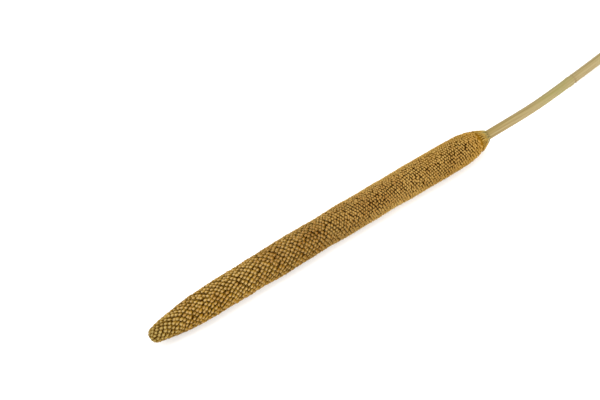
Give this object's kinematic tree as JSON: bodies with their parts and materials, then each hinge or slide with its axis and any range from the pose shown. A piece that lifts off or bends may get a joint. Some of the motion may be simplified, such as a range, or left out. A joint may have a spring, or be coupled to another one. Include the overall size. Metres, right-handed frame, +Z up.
{
  "type": "pearl millet seed head",
  "caption": "Dried pearl millet spike covered in close-set grains, with a length of bare jointed stem, lying on its side.",
  "frame": {"origin": "on the surface the part lies on, under the middle of its bounding box", "axes": "+X along the spike from its tip towards the stem, +Z up"},
  "size_m": [0.4504, 0.0304, 0.0217],
  "materials": {
    "grains": "matte",
    "stem": "satin"
  },
  "bodies": {
    "root": {"seed_head": "grains", "stem": "stem"}
  },
  "joints": []
}
